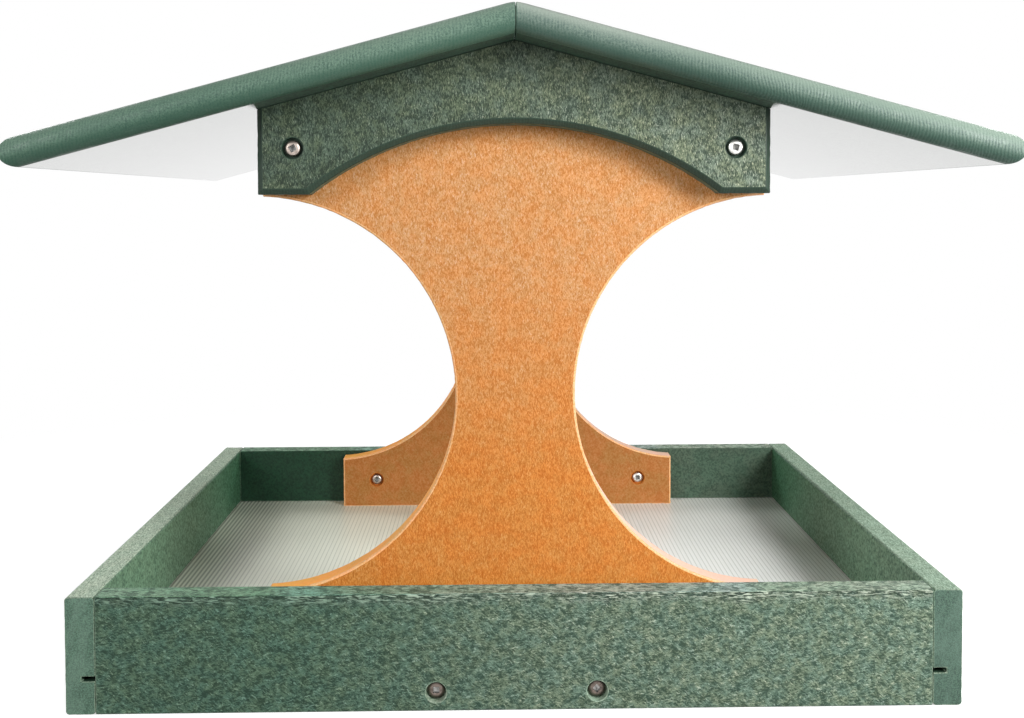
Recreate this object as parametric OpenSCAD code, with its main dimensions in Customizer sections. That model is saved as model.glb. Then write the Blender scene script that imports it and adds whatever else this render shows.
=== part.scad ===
// Covered platform bird feeder built from thick recycled plastic boards.
// Two butt-jointed end rails and two full-length side rails form a shallow tray. A fluted
// sheet is captured in a groove that runs round the inner faces of the rails. An hourglass
// post board stands on the sheet at each end, screwed to the end rail from the inside, and
// carries a gable fascia with an arched lower edge. Two roof panels with bullnosed edges
// meet at a mitred ridge. A flat brace runs front to back under the sheet.
//
// Axes: X to the right, Y from the front to the back, Z up. The origin is at the bottom
// centre of the feeder, on the surface that it stands on. Lengths are in millimetres.

/* [Tray] */
// Outer width of the tray across both side rails
tray_w = 482.6; // [450:0.1:540]
// Outer depth of the tray from front to back
tray_d = 381; // [320:0.5:460]
// Height of the rails
rail_h = 63.5; // [58:0.5:76]
// Thickness of every board
board_t = 15.9; // [14.3:0.1:19]
// Rounding of the long edges of the side rails
side_edge_r = 2; // [0.5:0.1:3]
// Rounding of the long edges of the front and rear rails
end_edge_r = 0.8; // [0.4:0.1:2]

/* [Floor sheet] */
// Thickness of the fluted sheet
floor_t = 2.3; // [2:0.1:4]
// Depth of the groove in the rails that holds the sheet
groove_depth = 7.3; // [5:0.1:8]
// Free height above the sheet inside the groove
groove_play = 0.3; // [0.2:0.1:0.8]
// Free length between the edge of the sheet and the bottom of the groove
floor_play = 0.6; // [0.3:0.1:1.5]
// Distance between the flutes of the sheet
flute_pitch = 3; // [2.5:0.1:6]
// Width of the shallow line between two flutes
flute_line_w = 0.6; // [0.4:0.1:1]
// Depth of the shallow line between two flutes
flute_line_h = 0.25; // [0.1:0.05:0.5]

/* [Post boards] */
// Width of the hourglass post boards and of the gable fascias
post_w = 273; // [255:0.5:300]
// Width of the post boards at the waist
waist_w = 65.5; // [50:0.5:80]
// Radius of the circular bites that form the waist
bite_r = 108.4; // [98:0.2:112]
// Height of the lower wings above the ground, where the bites begin
wing_z = 60; // [56:0.5:66]
// Chamfer along the bites and the upright edges
post_ease = 0.8; // [0.3:0.1:1.5]

/* [Gable fascia] */
// Height of the upright ends of the fascia
fascia_side_h = 45; // [40:0.5:55]
// Width of the flat foot at each end of the arch
fascia_foot_w = 27; // [22:0.5:34]
// Rise of the arched lower edge above the feet
arch_rise = 37.2; // [24:0.2:42]
// Chamfer around the outer face of the fascia
fascia_chamfer = 2.8; // [1:0.1:3.6]
// Height of the fascia's feet above the top of the bites
fascia_step = 0.8; // [0:0.1:3]

/* [Roof] */
// Slope of the roof panels in degrees
roof_pitch = 15; // [12:0.5:20]
// Overall width of the roof across both eaves
roof_w = 520; // [490:1:580]
// Reach of the roof past the front and the back of the tray
roof_reach = 30; // [22:0.5:50]
// Radius of the eased ridge
ridge_r = 30; // [20:1:40]
// Width of the seam between the panels at the ridge
ridge_seam = 0.3; // [0.1:0.1:0.8]

/* [Brace] */
// Width of the brace under the floor sheet
brace_w = 139.7; // [110:0.1:180]
// Height of the underside of the brace above the ground
brace_lift = 2.1; // [1:0.1:5]

/* [Screws] */
// Diameter of the screw heads
head_d = 9.5; // [8.6:0.1:10]
// Height of the screw heads
head_h = 2.9; // [2.4:0.1:3.2]
// Diameter of the screw shanks
shank_d = 4.2; // [3.6:0.1:4.8]
// Length of the screws that join a rail to the end of another board
long_screw_l = 41; // [34:1:46]
// Diameter of the counterbores
bore_d = 11.1; // [10.6:0.1:12]
// Depth of the counterbores in the fascias, post boards, side rails and roof panels
bore_depth = 3.4; // [3.2:0.1:4.2]
// Depth of the counterbores in the front and rear rails
brace_bore_depth = 6; // [4:0.1:7]
// Width of the square recess in the screw heads
drive_w = 3.4; // [2.8:0.1:3.8]
// Distance of the fascia screws from the ends of the fascia
fascia_screw_inset = 19; // [15:0.5:21]
// Height of the fascia screws above the feet of the arch
fascia_screw_rise = 24.5; // [20:0.5:28]
// Distance of the post screws from the upright edges of the post boards
post_screw_inset = 27.7; // [20:0.1:36]
// Distance of the brace screws from the long edges of the brace
brace_screw_inset = 26.4; // [20:0.1:40]
// Distance of the upper corner screws from the top of the rails
corner_screw_drop = 17.5; // [12:0.5:22]
// Distance of the inner roof screws from the ridge, measured along the slope
roof_screw_inner = 45; // [36:1:56]
// Distance of the outer roof screws from the upright edges of the post boards
roof_screw_inset = 40; // [34:1:50]

/* [Hidden] */
$fn = 96;
// Overlap of cutting shapes past the faces that they cut
cut = 1;
// Radial play between a screw shank and its hole
shank_play = 0.05;
// Board left beyond the tips of the short screws
tip_cover = 3.4;
short_screw_l = 2 * board_t - bore_depth - tip_cover;
// Length and end radius of the screw tips
tip_l = 5;
tip_r = 0.4;
// Height of the rim of the pan heads and depth of the square recess, as shares of the head
head_rim_h = 0.55 * head_h;
drive_depth = 0.7 * head_h;
// Place of the post screws between the floor sheet and the top of the lower wings
post_screw_share = 0.55;

// The brace is as thick as the boards and carries the floor sheet
floor_z = brace_lift + board_t;
floor_top = floor_z + floor_t;
floor_w = tray_w - 2 * (board_t - groove_depth) - 2 * floor_play;
floor_d = tray_d - 2 * (board_t - groove_depth) - 2 * floor_play;
flute_count = floor((floor_w - flute_pitch) / flute_pitch);

// Inner faces of the tray, and the outer and inner faces of the post boards
tray_in_w = tray_w - 2 * board_t;
post_face_y = tray_d / 2 - board_t;
post_back_y = post_face_y - board_t;

// Bites, fascia and roof are stacked on the height of the lower wings
bite_x = waist_w / 2 + bite_r;
bite_z = wing_z + bite_r;
fascia_z = wing_z + 2 * bite_r + fascia_step;
eave_z = fascia_z + fascia_side_h;
apex_z = eave_z + post_w / 2 * tan(roof_pitch);
arch_half = post_w / 2 - fascia_foot_w;
arch_r = (pow(arch_half, 2) + pow(arch_rise, 2)) / (2 * arch_rise);
arch_z = fascia_z + arch_rise - arch_r;

roof_d = tray_d + 2 * roof_reach;
panel_r = board_t / 2;
panel_l = panel_r + (roof_w / 2 - panel_r - panel_r * sin(roof_pitch)) / cos(roof_pitch);

// Places of the screws
fascia_screw_x = post_w / 2 - fascia_screw_inset;
fascia_screw_z = fascia_z + fascia_screw_rise;
post_screw_x = post_w / 2 - post_screw_inset;
post_screw_z = floor_top + post_screw_share * (wing_z - floor_top);
brace_screw_x = brace_w / 2 - brace_screw_inset;
brace_screw_z = brace_lift + board_t / 2;
corner_screw_y = tray_d / 2 - board_t / 2;
corner_screw_zs = [brace_screw_z, rail_h - corner_screw_drop];
roof_screw_us = [roof_screw_inner, (post_w / 2 - roof_screw_inset) / cos(roof_pitch)];
roof_screw_y = post_face_y - board_t / 2;

green = [0.16, 0.30, 0.23];
cedar = [0.80, 0.47, 0.20];
sheet = [0.80, 0.82, 0.78, 0.8];
steel = [0.75, 0.75, 0.76];

// Shared shapes

// Rectangle with its lower left corner at the origin and round corners
module rounded_section(w, h, r) {
    translate([r, 0]) square([w - 2 * r, h]);
    translate([0, r]) square([w, h - 2 * r]);
    for (x = [r, w - r], y = [r, h - r])
        translate([x, y]) circle(r);
}

// Upright section of a rail, its inner face at x = board_t, with the groove for the sheet
module rail_section(r) {
    difference() {
        rounded_section(board_t, rail_h, r);
        translate([board_t - groove_depth, floor_z])
            square([groove_depth + cut, floor_t + groove_play]);
    }
}

// Pan head screw with a square recess. The head's seat is at z = 0, the shank points down.
module screw(l) {
    dome_r = (pow(head_d / 2, 2) + pow(head_h - head_rim_h, 2)) / (2 * (head_h - head_rim_h));
    difference() {
        rotate_extrude() {
            intersection() {
                square([head_d / 2, head_h]);
                translate([0, head_h - dome_r]) circle(dome_r);
            }
            polygon([
                [0, -l], [tip_r, -l], [shank_d / 2, tip_l - l],
                [shank_d / 2, head_rim_h / 2], [0, head_rim_h / 2]
            ]);
        }
        translate([-drive_w / 2, -drive_w / 2, head_h - drive_depth])
            cube([drive_w, drive_w, drive_depth + cut]);
    }
}

// Counterbore and pilot hole for a screw whose head enters the face at z = 0 from above
module screw_hole(l, depth) {
    translate([0, 0, -depth]) cylinder(h = depth + cut, d = bore_d);
    translate([0, 0, -depth - l - cut])
        cylinder(h = l + depth, r = shank_d / 2 + shank_play);
}

// Carries a shape to the far end of the feeder for end = 1 and leaves it in front for -1
module at_end(end) {
    mirror([0, end > 0 ? 1 : 0, 0]) children();
}

// Carries a shape to the left half of the feeder for side = -1
module at_side(side) {
    mirror([side < 0 ? 1 : 0, 0, 0]) children();
}

// Frames in which screws and their holes are placed, the outer face at z = 0

module on_fascia(side) {
    at_side(side) translate([fascia_screw_x, -tray_d / 2, fascia_screw_z])
        rotate([90, 0, 0]) children();
}

module on_post(side) {
    at_side(side) translate([post_screw_x, -post_back_y, post_screw_z])
        rotate([-90, 0, 0]) children();
}

module on_end_rail(side) {
    at_side(side) translate([brace_screw_x, -tray_d / 2, brace_screw_z])
        rotate([90, 0, 0]) children();
}

module on_side_rail(z) {
    translate([tray_w / 2, -corner_screw_y, z])
        rotate([0, 90, 0]) children();
}

module on_roof(u) {
    translate([0, 0, apex_z]) rotate([0, roof_pitch, 0])
        translate([u, -roof_screw_y, board_t]) children();
}

// Tray

module side_rail(side) {
    difference() {
        at_side(side) translate([tray_w / 2, tray_d / 2, 0])
            rotate([90, 0, 0]) mirror([1, 0, 0])
                linear_extrude(height = tray_d) rail_section(side_edge_r);
        for (end = [-1, 1], z = corner_screw_zs)
            at_end(end) at_side(side) on_side_rail(z) screw_hole(long_screw_l, bore_depth);
    }
}

module side_rail_left() {
    color(green) side_rail(-1);
}

module side_rail_right() {
    color(green) side_rail(1);
}

// The front rail lies between the side rails; the rear rail is its mirror image
module end_rail(end) {
    difference() {
        at_end(end) translate([-tray_in_w / 2, -tray_d / 2, 0])
            rotate([90, 0, 90])
                linear_extrude(height = tray_in_w) rail_section(end_edge_r);
        for (side = [-1, 1]) {
            at_end(end) on_end_rail(side) screw_hole(long_screw_l, brace_bore_depth);
            at_end(end) on_post(side) screw_hole(short_screw_l, bore_depth);
            for (z = corner_screw_zs)
                at_end(end) at_side(side) on_side_rail(z) screw_hole(long_screw_l, bore_depth);
        }
    }
}

module front_rail() {
    color(green) end_rail(-1);
}

module rear_rail() {
    color(green) end_rail(1);
}

// Section of the fluted sheet across the flutes: a comb of shallow lines along both faces
function flute_x(i) = (i - (flute_count - 1) / 2) * flute_pitch;

function flute_line(i, z, h) = [
    [flute_x(i) - flute_line_w / 2, z], [flute_x(i) - flute_line_w / 4, z + h],
    [flute_x(i) + flute_line_w / 4, z + h], [flute_x(i) + flute_line_w / 2, z]
];

function reversed(list) = [for (i = [len(list) - 1 : -1 : 0]) list[i]];

module floor_sheet() {
    under = [for (i = [0 : flute_count - 1]) each flute_line(i, 0, flute_line_h)];
    upper = [for (i = [0 : flute_count - 1]) each flute_line(i, floor_t, -flute_line_h)];
    color(sheet)
        translate([0, floor_d / 2, floor_z]) rotate([90, 0, 0])
            linear_extrude(height = floor_d)
                polygon(concat(
                    [[-floor_w / 2, 0]], under, [[floor_w / 2, 0], [floor_w / 2, floor_t]],
                    reversed(upper), [[-floor_w / 2, floor_t]]
                ));
}

module bottom_brace() {
    color(green) difference() {
        translate([-brace_w / 2, -post_face_y, brace_lift])
            cube([brace_w, 2 * post_face_y, board_t]);
        for (end = [-1, 1], side = [-1, 1])
            at_end(end) on_end_rail(side) screw_hole(long_screw_l, brace_bore_depth);
    }
}

// Post boards

// Triangular prism that takes a chamfer off the edge along Z at the origin
module edge_chamfer(c, l) {
    linear_extrude(height = l)
        polygon([[-cut, c + cut], [-cut, -cut], [c + cut, -cut]]);
}

// Circular bite through a post board, with a chamfer at both faces
module bite() {
    translate([0, cut, 0]) rotate([90, 0, 0]) cylinder(h = board_t + 2 * cut, r = bite_r);
    for (y = [0, -board_t])
        translate([0, y, 0]) rotate([90, 0, 0])
            translate([0, 0, y < 0 ? -post_ease : 0])
                cylinder(h = post_ease,
                    r1 = y < 0 ? bite_r : bite_r + post_ease,
                    r2 = y < 0 ? bite_r + post_ease : bite_r);
}

module post_board(end) {
    at_end(end) difference() {
        translate([0, -post_back_y, 0]) rotate([90, 0, 0])
            linear_extrude(height = board_t)
                polygon([
                    [-post_w / 2, floor_top], [post_w / 2, floor_top],
                    [post_w / 2, eave_z], [0, apex_z], [-post_w / 2, eave_z]
                ]);
        for (side = [-1, 1]) {
            at_side(side) translate([bite_x, -post_back_y, bite_z]) bite();
            at_side(side) translate([-post_w / 2, -post_face_y, floor_top - cut])
                edge_chamfer(post_ease, eave_z);
            at_side(side) translate([-post_w / 2, -post_back_y, floor_top - cut])
                rotate([0, 0, -90]) edge_chamfer(post_ease, eave_z);
            on_fascia(side) screw_hole(short_screw_l, bore_depth);
            on_post(side) screw_hole(short_screw_l, bore_depth);
            for (u = roof_screw_us)
                at_side(side) on_roof(u) screw_hole(short_screw_l, bore_depth);
        }
    }
}

module front_post_board() {
    color(cedar) post_board(-1);
}

module rear_post_board() {
    color(cedar) post_board(1);
}

// Gable fascias

// The chamfer follows the upright ends, the feet and the arch, and meets in mitres
module gable_fascia(end) {
    c = fascia_chamfer;
    at_end(end) difference() {
        translate([0, -post_face_y, 0]) rotate([90, 0, 0])
            linear_extrude(height = board_t)
                difference() {
                    polygon([
                        [-post_w / 2, fascia_z], [post_w / 2, fascia_z],
                        [post_w / 2, eave_z], [0, apex_z], [-post_w / 2, eave_z]
                    ]);
                    translate([0, arch_z]) circle(arch_r);
                }
        translate([0, -tray_d / 2, arch_z]) rotate([-90, 0, 0])
            cylinder(h = c, r1 = arch_r + c, r2 = arch_r);
        for (side = [-1, 1]) {
            at_side(side) translate([-post_w / 2, -tray_d / 2, fascia_z - cut])
                edge_chamfer(c, apex_z - fascia_z);
            at_side(side) translate([post_w / 2 + cut, -tray_d / 2, fascia_z])
                rotate([0, -90, 0]) edge_chamfer(c, fascia_foot_w + cut);
            on_fascia(side) screw_hole(short_screw_l, bore_depth);
        }
    }
}

module front_gable_fascia() {
    color(green) gable_fascia(-1);
}

module rear_gable_fascia() {
    color(green) gable_fascia(1);
}

// Roof

// Section of a panel along the slope. The underside starts from the apex at the origin,
// the ridge end is mitred and eased, and the eave end is a full bullnose.
module panel_slope_section() {
    lean = board_t * tan(roof_pitch);
    seam = ridge_seam / 2 / cos(roof_pitch);
    ease_u = (ridge_r - board_t) * tan(roof_pitch);
    difference() {
        union() {
            polygon([
                [seam, 0], [panel_l - panel_r, 0],
                [panel_l - panel_r, board_t], [seam - lean, board_t]
            ]);
            translate([panel_l - panel_r, panel_r]) circle(panel_r);
        }
        difference() {
            translate([ease_u - ridge_r, board_t - ridge_r]) square([ridge_r, ridge_r + cut]);
            translate([ease_u, board_t - ridge_r]) circle(ridge_r);
        }
    }
}

// Section of a panel across the slope: a full bullnose at the front and at the back
module panel_depth_section() {
    translate([-roof_d / 2 + panel_r, 0]) square([roof_d - 2 * panel_r, board_t]);
    for (y = [-1, 1])
        translate([y * (roof_d / 2 - panel_r), panel_r]) circle(panel_r);
}

// The two sections crossed with each other give bullnoses that mitre at the corners
module roof_panel(side) {
    difference() {
        at_side(side) translate([0, 0, apex_z]) rotate([0, roof_pitch, 0])
            intersection() {
                translate([0, roof_d / 2 + cut, 0]) rotate([90, 0, 0])
                    linear_extrude(height = roof_d + 2 * cut) panel_slope_section();
                translate([-board_t, 0, 0]) rotate([90, 0, 90])
                    linear_extrude(height = panel_l + 2 * board_t) panel_depth_section();
            }
        for (end = [-1, 1], u = roof_screw_us)
            at_end(end) at_side(side) on_roof(u) screw_hole(short_screw_l, bore_depth);
    }
}

module roof_panel_left() {
    color(green) roof_panel(-1);
}

module roof_panel_right() {
    color(green) roof_panel(1);
}

// Screws

module gable_screw(end, side) {
    color(steel) at_end(end) on_fascia(side)
        translate([0, 0, -bore_depth]) screw(short_screw_l);
}

module post_screw(end, side) {
    color(steel) at_end(end) on_post(side)
        translate([0, 0, -bore_depth]) screw(short_screw_l);
}

module brace_screw(end, side) {
    color(steel) at_end(end) on_end_rail(side)
        translate([0, 0, -brace_bore_depth]) screw(long_screw_l);
}

module corner_screw(end, side, z) {
    color(steel) at_end(end) at_side(side) on_side_rail(z)
        translate([0, 0, -bore_depth]) screw(long_screw_l);
}

module roof_screw(end, side, u) {
    color(steel) at_end(end) at_side(side) on_roof(u)
        translate([0, 0, -bore_depth]) screw(short_screw_l);
}

module gable_screw_front_left() { gable_screw(-1, -1); }
module gable_screw_front_right() { gable_screw(-1, 1); }
module gable_screw_rear_left() { gable_screw(1, -1); }
module gable_screw_rear_right() { gable_screw(1, 1); }

module post_screw_front_left() { post_screw(-1, -1); }
module post_screw_front_right() { post_screw(-1, 1); }
module post_screw_rear_left() { post_screw(1, -1); }
module post_screw_rear_right() { post_screw(1, 1); }

module brace_screw_front_left() { brace_screw(-1, -1); }
module brace_screw_front_right() { brace_screw(-1, 1); }
module brace_screw_rear_left() { brace_screw(1, -1); }
module brace_screw_rear_right() { brace_screw(1, 1); }

module corner_screw_front_left_lower() { corner_screw(-1, -1, corner_screw_zs[0]); }
module corner_screw_front_left_upper() { corner_screw(-1, -1, corner_screw_zs[1]); }
module corner_screw_front_right_lower() { corner_screw(-1, 1, corner_screw_zs[0]); }
module corner_screw_front_right_upper() { corner_screw(-1, 1, corner_screw_zs[1]); }
module corner_screw_rear_left_lower() { corner_screw(1, -1, corner_screw_zs[0]); }
module corner_screw_rear_left_upper() { corner_screw(1, -1, corner_screw_zs[1]); }
module corner_screw_rear_right_lower() { corner_screw(1, 1, corner_screw_zs[0]); }
module corner_screw_rear_right_upper() { corner_screw(1, 1, corner_screw_zs[1]); }

module roof_screw_front_left_inner() { roof_screw(-1, -1, roof_screw_us[0]); }
module roof_screw_front_left_outer() { roof_screw(-1, -1, roof_screw_us[1]); }
module roof_screw_front_right_inner() { roof_screw(-1, 1, roof_screw_us[0]); }
module roof_screw_front_right_outer() { roof_screw(-1, 1, roof_screw_us[1]); }
module roof_screw_rear_left_inner() { roof_screw(1, -1, roof_screw_us[0]); }
module roof_screw_rear_left_outer() { roof_screw(1, -1, roof_screw_us[1]); }
module roof_screw_rear_right_inner() { roof_screw(1, 1, roof_screw_us[0]); }
module roof_screw_rear_right_outer() { roof_screw(1, 1, roof_screw_us[1]); }

side_rail_left();
side_rail_right();
front_rail();
rear_rail();
floor_sheet();
bottom_brace();
front_post_board();
rear_post_board();
front_gable_fascia();
rear_gable_fascia();
roof_panel_left();
roof_panel_right();
gable_screw_front_left();
gable_screw_front_right();
gable_screw_rear_left();
gable_screw_rear_right();
post_screw_front_left();
post_screw_front_right();
post_screw_rear_left();
post_screw_rear_right();
brace_screw_front_left();
brace_screw_front_right();
brace_screw_rear_left();
brace_screw_rear_right();
corner_screw_front_left_lower();
corner_screw_front_left_upper();
corner_screw_front_right_lower();
corner_screw_front_right_upper();
corner_screw_rear_left_lower();
corner_screw_rear_left_upper();
corner_screw_rear_right_lower();
corner_screw_rear_right_upper();
roof_screw_front_left_inner();
roof_screw_front_left_outer();
roof_screw_front_right_inner();
roof_screw_front_right_outer();
roof_screw_rear_left_inner();
roof_screw_rear_left_outer();
roof_screw_rear_right_inner();
roof_screw_rear_right_outer();
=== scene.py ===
import functools
import math

import bmesh
import bpy
from bpy.props import FloatProperty, FloatVectorProperty, IntProperty, PointerProperty
from mathutils import Matrix, Vector, noise


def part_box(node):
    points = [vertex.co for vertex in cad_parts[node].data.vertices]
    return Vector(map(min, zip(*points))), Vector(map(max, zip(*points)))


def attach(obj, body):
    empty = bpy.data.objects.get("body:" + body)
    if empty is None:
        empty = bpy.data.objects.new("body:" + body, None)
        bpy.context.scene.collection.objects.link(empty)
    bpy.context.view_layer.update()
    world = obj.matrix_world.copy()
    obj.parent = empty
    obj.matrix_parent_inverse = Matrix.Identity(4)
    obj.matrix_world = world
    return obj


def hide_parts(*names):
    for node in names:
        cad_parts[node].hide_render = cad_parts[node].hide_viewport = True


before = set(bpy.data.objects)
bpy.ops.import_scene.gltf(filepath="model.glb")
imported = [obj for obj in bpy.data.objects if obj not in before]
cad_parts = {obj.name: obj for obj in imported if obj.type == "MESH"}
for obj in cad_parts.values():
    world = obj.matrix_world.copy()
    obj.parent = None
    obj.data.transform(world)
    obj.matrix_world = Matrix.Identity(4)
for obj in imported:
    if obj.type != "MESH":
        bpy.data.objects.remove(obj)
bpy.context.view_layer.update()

bl_info = {
    "name": "Platform Bird Feeder",
    "version": (1, 0, 0),
    "blender": (4, 5, 0),
    "location": "View3D > Sidebar > Feeder",
    "description": "Dresses the boards, floor sheet and screws of a covered platform bird feeder",
    "category": "Object",
}

BODY = "root"

# Dimensions that the screws and the roof share with the solids, in metres and radians
HEAD_H = 0.0029
ROOF_PITCH = math.radians(15)

# A face lies on a board's skin when it is this close to the board's outer planes
SKIN_REACH = 0.0023
# Faces between these heights lie in the groove of a side rail
GROOVE_LOW = 0.0165
GROOVE_HIGH = 0.0220
# The roof reaches past the gable fascias from about this far from the feeder's middle
REACH_START = 0.1865
REACH_END = 0.1895
# Faces this close to a screw's axis belong to its counterbore, from this far past the
# screw's tip to this far above its seat
BORE_REACH = 0.0062
PILOT_REACH = 0.002
BORE_DEPTH = 0.008
# Points this close to the lowest point of a screw lie on its tip
TIP_REACH = 0.00005
# Points closer than this are doubles, and faces within this angle are one flat face
DOUBLE_REACH = 0.000005
FLAT_ANGLE = math.radians(0.4)
# Edges above the first angle are broken, and edges above the second are shaded as creases
SHARP_ANGLE = math.radians(30)
CREASE_ANGLE = math.radians(40)
# A flat face with more than this area isn't part of a counterbore, in square metres
LARGE_FACE = 0.0003
# A broken edge's face is narrower than this on average
NARROW_FACE = 0.001
# Spacing of the large and small tears along the broken edges, as scales of the noise
COARSE_TEARS = 420
FINE_TEARS = 1300
# A face's normal has more than this along an axis that it is square to, and along a
# direction that it lies almost square to, faces, or only leans towards
SQUARE = 0.9999
ALMOST_SQUARE = 0.97
FACING = 0.8
LEANING = 0.15
# Turn of the square recess from one screw to the next, in radians
DRIVE_TURN = 2.4
# The image that the camera is matched to, in pixels
IMAGE_W = 1024
IMAGE_H = 718

# Directions of fibres, as turns away from X, and of drifts
ACROSS = (0, 0, 0)
ENDWAYS = (0, 0, math.radians(90))
UPRIGHT = (0, math.radians(90), 0)
SLANTED = (0, math.radians(14), 0)
ALONG_X = (1, 0, 0)
ALONG_Y = (0, 1, 0)
ALONG_Z = (0, 0, 1)
# A tone that leaves a colour as it is
UNCHANGED = (1.0, 1.0, 1.0)
# What the finishes of all counterbores have in common
BORED = {"width": 0.0012, "stretch": 1.5, "lie": ACROSS, "fleck_gain": 0.1,
         "relief": 0.0001}


def srgb(red, green, blue):
    """Linear colour of a display colour given from 0 to 255."""
    def linear(value):
        value /= 255
        return value / 12.92 if value <= 0.04045 else ((value + 0.055) / 1.055) ** 2.4
    return tuple(linear(value) for value in (red, green, blue))


def grey(value):
    """A grey as the four numbers of a colour socket."""
    return (value, value, value, 1.0)


def shade(color, gain):
    """The same colour made lighter or darker, as the four numbers of a colour socket."""
    return tuple(min(1.0, value * gain) for value in color[:3]) + (1.0,)


def multiplied(color, gains):
    """A colour with each of its channels multiplied by its own gain."""
    return tuple(min(1.0, value * gain) for value, gain in zip(color[:3], gains)) + (1.0,)


def blend_colors(first, second, share):
    """A colour between two others, as the four numbers of a colour socket."""
    return tuple(a + (b - a) * share for a, b in zip(first[:3], second[:3])) + (1.0,)


# Settings that a user would change

class FeederBoardSettings(bpy.types.PropertyGroup):
    """Tones and edges of the recycled plastic boards."""

    green_dark: FloatVectorProperty(
        name="Green dark", description="Green boards between the fibres", subtype="COLOR",
        min=0, max=1, default=srgb(40, 62, 48))
    green_mid: FloatVectorProperty(
        name="Green", description="Body colour of the green boards", subtype="COLOR",
        min=0, max=1, default=srgb(100, 124, 103))
    green_light: FloatVectorProperty(
        name="Green light", description="Raised fibres and torn edges of the green boards",
        subtype="COLOR", min=0, max=1, default=srgb(160, 178, 158))
    cedar_dark: FloatVectorProperty(
        name="Cedar dark", description="Cedar coloured boards between the fibres",
        subtype="COLOR", min=0, max=1, default=srgb(196, 116, 42))
    cedar_mid: FloatVectorProperty(
        name="Cedar", description="Body colour of the cedar coloured boards", subtype="COLOR",
        min=0, max=1, default=srgb(228, 156, 86))
    cedar_light: FloatVectorProperty(
        name="Cedar light", description="Raised fibres and cut edges of the cedar boards",
        subtype="COLOR", min=0, max=1, default=srgb(244, 204, 160))
    arris_w: FloatProperty(
        name="Arris", description="Width of the broken edges of the boards", unit="LENGTH",
        min=0.0001, max=0.002, default=0.0005)
    nibble: FloatProperty(
        name="Nibble", description="Depth of the small tears along the sawn edges",
        unit="LENGTH", min=0, max=0.001, default=0.00028)
    nibble_step: FloatProperty(
        name="Nibble length", description="Length of one tear along an edge", unit="LENGTH",
        min=0.001, max=0.01, default=0.0028)


class FeederSheetSettings(bpy.types.PropertyGroup):
    """Size and tone of the fluted floor sheet."""

    flute_pitch: FloatProperty(
        name="Flute pitch", description="Distance between the webs of the sheet",
        unit="LENGTH", min=0.002, max=0.006, default=0.003)
    flute_sag: FloatProperty(
        name="Flute sag", description="Depth of the hollow between two webs", unit="LENGTH",
        min=0, max=0.0005, default=0.00012)
    skin: FloatVectorProperty(
        name="Skin", description="Milky skin of the sheet", subtype="COLOR",
        min=0, max=1, default=srgb(236, 240, 226))
    web: FloatVectorProperty(
        name="Web", description="Webs that show through the skin", subtype="COLOR",
        min=0, max=1, default=srgb(184, 190, 174))


class FeederScrewSettings(bpy.types.PropertyGroup):
    """Shape and tone of the pan head screws."""

    head_d: FloatProperty(
        name="Head diameter", description="Diameter of the screw heads", unit="LENGTH",
        min=0.006, max=0.012, default=0.0095)
    small_head_d: FloatProperty(
        name="Small head diameter",
        description="Diameter of the heads in the gables and inside the tray",
        unit="LENGTH", min=0.006, max=0.012, default=0.0084)
    shank_d: FloatProperty(
        name="Shank diameter", description="Diameter over the thread", unit="LENGTH",
        min=0.003, max=0.006, default=0.0042)
    drive_w: FloatProperty(
        name="Drive width", description="Width of the square recess", unit="LENGTH",
        min=0.002, max=0.005, default=0.0034)
    thread_pitch: FloatProperty(
        name="Thread pitch", description="Rise of the thread in one turn", unit="LENGTH",
        min=0.001, max=0.004, default=0.0021)
    segments: IntProperty(
        name="Segments", description="Faces round a screw head", min=12, max=64, default=40)
    steel: FloatVectorProperty(
        name="Steel", description="Bright stainless steel", subtype="COLOR",
        min=0, max=1, default=srgb(236, 234, 230))
    # Darker steel for the heads of the deep brace screws: it paints the shade of their
    # counterbores
    deep_shade_steel: FloatVectorProperty(
        name="Deep shade steel", description="Dulled steel of the deep screws in the end rails",
        subtype="COLOR", min=0, max=1, default=srgb(120, 108, 101))


class FeederStageSettings(bpy.types.PropertyGroup):
    """Camera, lamps and floor."""

    eye: FloatVectorProperty(
        name="Eye", description="Place of the camera", subtype="TRANSLATION", unit="LENGTH",
        default=(-0.01276, -0.81406, 0.27451))
    focal_px: FloatProperty(
        name="Focal length", description="Focal length in pixels of the matched image",
        min=500, max=3000, default=1175.8)
    horizon_px: FloatProperty(
        name="Principal row", description="Row of the matched image that the lens looks at",
        min=0, max=718, default=240.9)
    tilt: FloatProperty(
        name="Tilt", description="How far the camera looks down", subtype="ANGLE",
        default=math.radians(2.0))
    yaw: FloatProperty(
        name="Yaw", description="How far the camera looks to the right", subtype="ANGLE",
        default=math.radians(1.011))
    roll: FloatProperty(
        name="Roll", description="How far the camera leans", subtype="ANGLE",
        default=math.radians(0.197))
    key_power: FloatProperty(
        name="Key", description="Power of the high lamp at the right of the camera",
        unit="POWER", min=0, default=8.4)
    near_power: FloatProperty(
        name="Near", description="Power of the low lamp close to the right front corner",
        unit="POWER", min=0, default=6.6)
    fill_power: FloatProperty(
        name="Fill", description="Power of the lamp at the left of the camera", unit="POWER",
        min=0, default=7.0)
    back_right_power: FloatProperty(
        name="Back right", description="Power of the lamp behind the right rail",
        unit="POWER", min=0, default=5.5)
    back_left_power: FloatProperty(
        name="Back left", description="Power of the lamp behind the left rail",
        unit="POWER", min=0, default=7.4)
    ambient: FloatProperty(
        name="Ambient", description="Strength of the even light from all round", min=0, max=2,
        default=0.035)


# Shader helpers

def put(tree, kind, settings=None, sockets=None):
    """Adds a node, sets its properties, and feeds its inputs with values or links."""
    node = tree.nodes.new(kind)
    for name, value in (settings or {}).items():
        setattr(node, name, value)
    for key, value in (sockets or {}).items():
        if isinstance(value, bpy.types.NodeSocket):
            tree.links.new(value, node.inputs[key])
        else:
            node.inputs[key].default_value = value
    return node


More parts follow.
